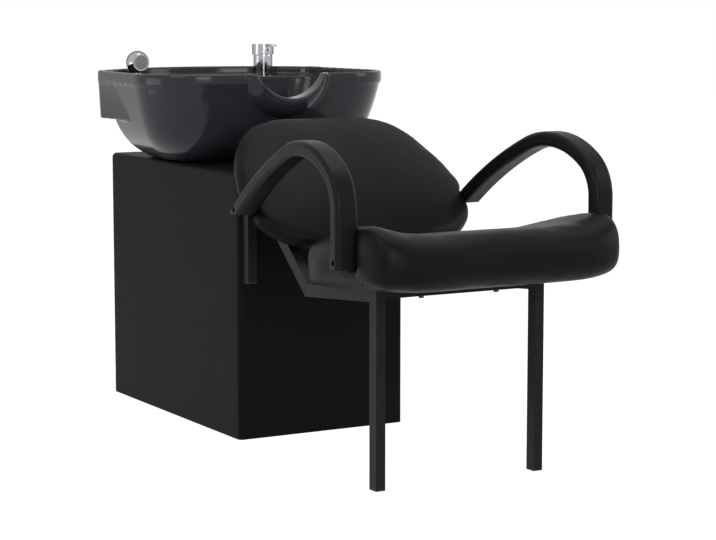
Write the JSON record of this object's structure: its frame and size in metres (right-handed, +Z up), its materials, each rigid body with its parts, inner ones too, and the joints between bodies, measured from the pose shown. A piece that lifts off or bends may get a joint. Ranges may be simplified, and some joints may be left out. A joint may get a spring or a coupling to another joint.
{
  "type": "shampoo chair",
  "caption": "Salon shampoo chair: padded seat, reclined back and looped arms on a tube frame, joined to an upholstered cabinet with a backwash basin, mixer and sprayer.",
  "frame": {"origin": "on the floor, in the middle of the whole length and width", "axes": "+Z up, -Y the way the sitter faces, X across"},
  "size_m": [0.6106, 1.3783, 0.804],
  "materials": {
    "cover": "satin",
    "board": "matte",
    "upholstery": "satin",
    "tube": "satin",
    "plastic": "matte",
    "arm": "satin",
    "steel": "satin",
    "rubber": "matte",
    "basin": "gloss",
    "chrome": "polished",
    "brass": "satin",
    "pin": "satin"
  },
  "bodies": {
    "chair": {"cabinet_cover": "cover", "cabinet_front": "board", "cabinet_side_right": "board", "cabinet_side_left": "board", "cabinet_top": "board", "cabinet_base": "board", "cabinet_battens": "board", "cabinet_back": "board", "seat_board": "board", "back_board": "board", "seat_cushion": "upholstery", "back_cushion": "upholstery", "back_rear_panel": "upholstery", "leg_right": "tube", "leg_left": "tube", "side_rail_right": "tube", "side_rail_left": "tube", "stay_right": "tube", "stay_left": "tube", "post_right": "tube", "post_left": "tube", "front_cross_rail": "tube", "rear_cross_rail": "tube", "upper_cross_rail": "tube", "back_plates": "tube", "arm_brackets": "tube", "leg_caps": "plastic", "post_caps": "plastic", "trap_bottle": "plastic", "trap_outlet": "plastic", "trap_nut": "plastic", "tailpiece": "plastic", "drain_nut": "plastic", "armrest_right": "arm", "armrest_left": "arm", "back_panel_screws": "steel", "post_bolts": "steel", "seat_screws": "steel", "back_screws": "steel", "arm_bolts": "steel", "bowl_bolts": "steel", "hose_grommet": "rubber", "basin_mat": "rubber", "drain_gasket": "rubber", "basin": "basin", "drain_flange": "chrome", "mixer_ring": "chrome", "mixer_body": "chrome", "spray_holder": "chrome", "mixer_shank": "brass", "mixer_nut": "brass", "mixer_cartridge": "brass", "inlet_tails": "brass"},
    "mixer_rotor": {"mixer_rotor": "chrome", "mixer_pin": "pin"},
    "mixer_lever": {"mixer_lever": "chrome", "mixer_plug": "plastic"},
    "sprayer": {"sprayer_body": "chrome", "sprayer_face": "plastic"},
    "strainer": {"hair_strainer": "chrome"}
  },
  "joints": [
    {"name": "mixer_turn", "type": "hinge", "parent": "chair", "child": "mixer_rotor", "pos_m": [0.16, 0.6, 0.777], "axis": [0, 0, 1], "range_deg": [-45, 45]},
    {"name": "mixer_lift", "type": "hinge", "parent": "mixer_rotor", "child": "mixer_lever", "pos_m": [0.16, 0.6, 0.777], "axis": [-1, 0, 0], "range_deg": [0, 20]},
    {"name": "sprayer_lift", "type": "slide", "parent": "chair", "child": "sprayer", "axis": [0, 0, 1], "range_m": [0, 0.2]},
    {"name": "strainer_lift", "type": "slide", "parent": "chair", "child": "strainer", "axis": [0, 0, 1], "range_m": [0, 0.15]}
  ]
}
